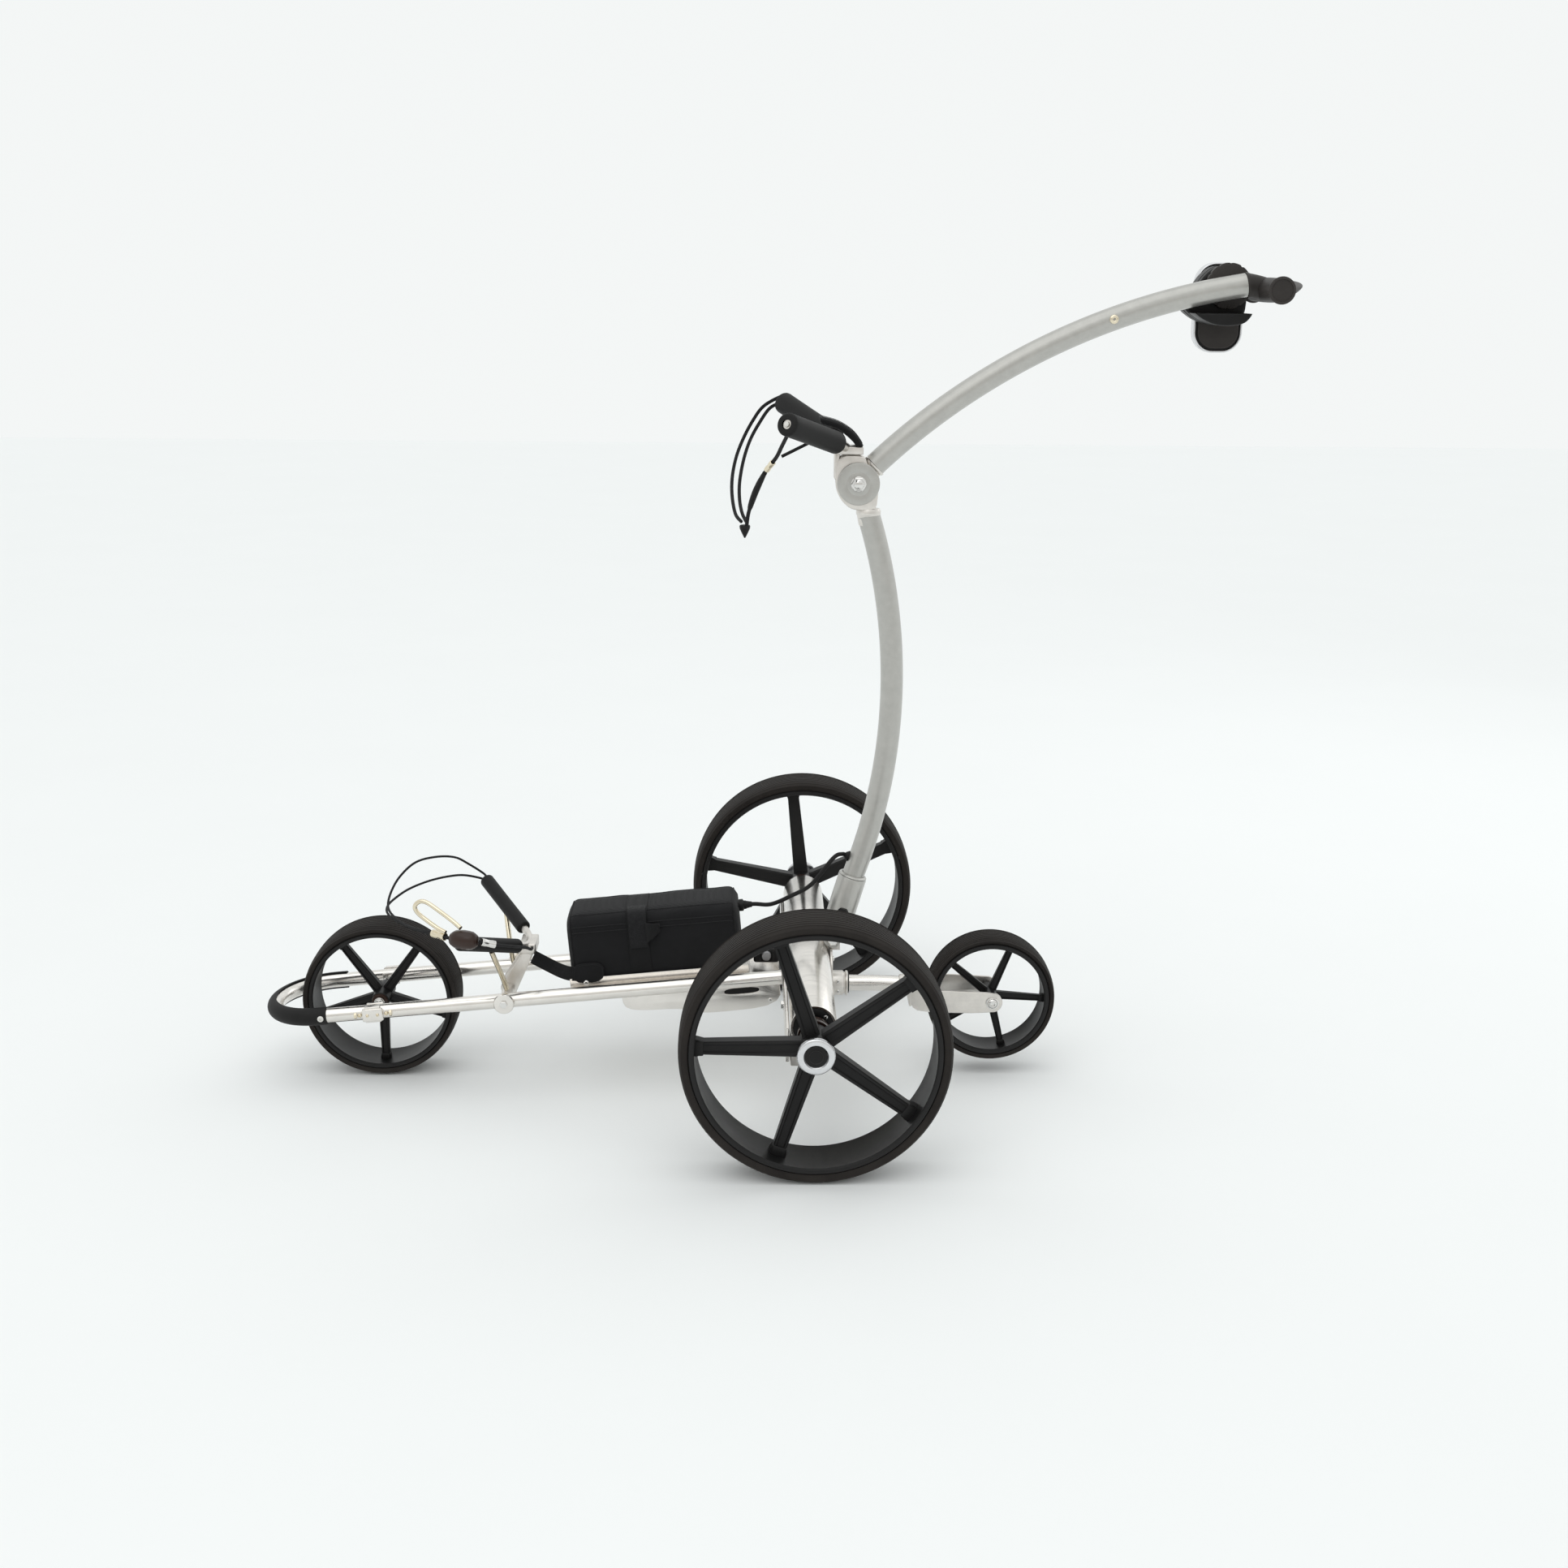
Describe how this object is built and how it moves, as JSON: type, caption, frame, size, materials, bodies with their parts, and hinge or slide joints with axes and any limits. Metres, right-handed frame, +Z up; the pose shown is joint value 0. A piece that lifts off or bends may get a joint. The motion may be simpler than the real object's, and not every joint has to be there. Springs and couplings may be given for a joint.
{
  "type": "electric golf trolley",
  "caption": "Empty electric golf trolley: tube frame on spoked wheels, folding curved handle with T-grip and speed control, battery in a pouch and padded bag brackets.",
  "frame": {"origin": "on the floor under the middle of the trolley's length, midway between the drive wheels", "axes": "+X towards the front wheel, +Y towards the trolley's left side, +Z up"},
  "size_m": [1.1824, 0.6378, 0.951],
  "materials": {
    "satin_aluminium": "satin, light warm silver",
    "polished_steel": "polished",
    "black_plastic": "moulded, half matt",
    "grey_plastic": "moulded, matt dark grey",
    "tyre_rubber": "matt dark brown-black",
    "black_rubber": "matt",
    "black_fabric": "woven nylon",
    "braided_cord": "braided elastic",
    "brown_plastic": "moulded, dark brown",
    "silver_trim": "satin, bright",
    "brass_steel": "yellow-plated wire, bright",
    "motor_steel": "dark satin"
  },
  "bodies": {
    "chassis": {"side_rails": "satin_aluminium", "front_bumper": "black_rubber", "front_axle_bolt": "polished_steel", "battery_tray": "satin_aluminium", "battery_case": "black_fabric", "battery_pack": "black_plastic", "battery_strap": "black_fabric", "battery_lead": "black_rubber", "controller_box": "satin_aluminium", "axle_housing": "satin_aluminium", "left_gearmotor": "motor_steel", "right_gearmotor": "motor_steel", "front_beam": "satin_aluminium", "rear_bracket": "satin_aluminium", "stem_pin": "polished_steel", "tie_strap": "black_fabric"},
    "front_wheel": {"front_wheel": "black_plastic", "front_tyre": "tyre_rubber"},
    "left_drive": {"left_drive_wheel": "black_plastic", "left_drive_tyre": "tyre_rubber", "left_hub_cap": "silver_trim"},
    "right_drive": {"right_drive_wheel": "black_plastic", "right_drive_tyre": "tyre_rubber", "right_hub_cap": "silver_trim"},
    "anti_tip": {"anti_tip_arm": "satin_aluminium", "anti_tip_fork": "satin_aluminium", "tip_axle_bolt": "polished_steel"},
    "anti_tip_wheel": {"tip_wheel": "black_plastic", "tip_tyre": "tyre_rubber"},
    "stem": {"handle_socket": "satin_aluminium", "lower_handle_tube": "satin_aluminium", "hinge_fork": "satin_aluminium", "hinge_clamp": "satin_aluminium", "upper_bag_bracket": "satin_aluminium", "upper_left_sleeve": "black_rubber", "upper_right_sleeve": "black_rubber", "upper_bag_strap": "black_fabric", "upper_cord_outer": "braided_cord", "upper_cord_inner": "braided_cord", "upper_cord_return": "braided_cord", "upper_cord_branch": "braided_cord", "upper_cord_hook": "black_plastic"},
    "release_button": {"release_button": "black_plastic"},
    "upper_handle": {"hinge_tongue": "satin_aluminium", "upper_handle_tube": "satin_aluminium", "t_grip": "grey_plastic", "control_housing": "black_plastic", "handset": "silver_trim"},
    "speed_wheel": {"speed_wheel": "grey_plastic"},
    "faster_button": {"faster_button": "grey_plastic"},
    "slower_button": {"slower_button": "grey_plastic"},
    "lower_bracket": {"lower_bag_bracket": "satin_aluminium", "lower_left_sleeve": "black_rubber", "lower_right_sleeve": "black_rubber", "lower_cord_upper": "braided_cord", "lower_cord_lower": "braided_cord", "lower_cord_return": "braided_cord", "cord_knob": "brown_plastic", "wire_hook": "brass_steel"}
  },
  "joints": [
    {"name": "front_wheel_spin", "type": "hinge", "parent": "chassis", "child": "front_wheel", "pos_m": [0.45278, 0, 0.093], "axis": [0, 1, 0], "continuous": true},
    {"name": "left_drive_spin", "type": "hinge", "parent": "chassis", "child": "left_drive", "pos_m": [-0.05622, 0.287, 0.145], "axis": [0, 1, 0], "continuous": true},
    {"name": "right_drive_spin", "type": "hinge", "parent": "chassis", "child": "right_drive", "pos_m": [-0.05622, -0.287, 0.145], "axis": [0, 1, 0], "continuous": true},
    {"name": "anti_tip_slide", "type": "slide", "parent": "chassis", "child": "anti_tip", "axis": [-1, 0, 0], "range_m": [0, 0.06]},
    {"name": "anti_tip_wheel_spin", "type": "hinge", "parent": "anti_tip", "child": "anti_tip_wheel", "pos_m": [-0.27621, 0, 0.095], "axis": [0, 1, 0], "continuous": true},
    {"name": "stem_fold", "type": "hinge", "parent": "chassis", "child": "stem", "pos_m": [-0.08571, 0, 0.166], "axis": [0, 1, 0], "range_deg": [0, 55], "deforming": ["battery_lead"]},
    {"name": "release_button_press", "type": "slide", "parent": "stem", "child": "release_button", "axis": [0, -1, 0], "range_m": [0, 0.0025], "stiffness_N_per_m": 600},
    {"name": "upper_handle_fold", "type": "hinge", "parent": "stem", "child": "upper_handle", "pos_m": [-0.10622, 0, 0.7075], "axis": [0, -1, 0], "range_deg": [0, 57]},
    {"name": "speed_wheel_turn", "type": "hinge", "parent": "upper_handle", "child": "speed_wheel", "pos_m": [-0.51572, -0.0195, 0.9255], "axis": [0, 1, 0], "range_deg": [0, 270]},
    {"name": "faster_button_press", "type": "slide", "parent": "upper_handle", "child": "faster_button", "axis": [0, 1, 0], "range_m": [0, 0.0009], "stiffness_N_per_m": 600},
    {"name": "slower_button_press", "type": "slide", "parent": "upper_handle", "child": "slower_button", "axis": [0, 1, 0], "range_m": [0, 0.0009], "stiffness_N_per_m": 600},
    {"name": "lower_bracket_tilt", "type": "hinge", "parent": "chassis", "child": "lower_bracket", "pos_m": [0.29979, 0, 0.10844], "axis": [0, -1, 0], "range_deg": [0, 25], "deforming": ["tie_strap"]}
  ]
}
